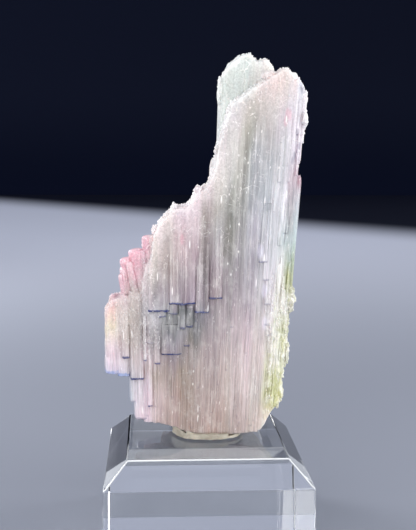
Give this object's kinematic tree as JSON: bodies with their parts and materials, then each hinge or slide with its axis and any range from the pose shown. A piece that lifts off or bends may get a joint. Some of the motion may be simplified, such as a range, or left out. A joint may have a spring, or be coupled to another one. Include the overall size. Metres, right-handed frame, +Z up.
{
  "type": "bicolor tourmaline crystal cluster",
  "caption": "Upright cluster of striated pale pink, white and green tourmaline crystals with blue-tipped ends, set in putty on a clear bevelled acrylic block.",
  "frame": {"origin": "middle of the acrylic block's flat underside", "axes": "+Z up along the crystals, +X to the right and -Y towards the viewer when the broad striated face is seen"},
  "size_m": [0.0408, 0.04, 0.0982],
  "materials": {
    "tourmaline": "glassy, striated, translucent",
    "putty": "matt, thumbed",
    "clear_acrylic": "polished, clear"
  },
  "bodies": {
    "root": {"tourmaline_cluster": "tourmaline", "mounting_putty": "putty", "acrylic_base": "clear_acrylic"}
  },
  "joints": []
}
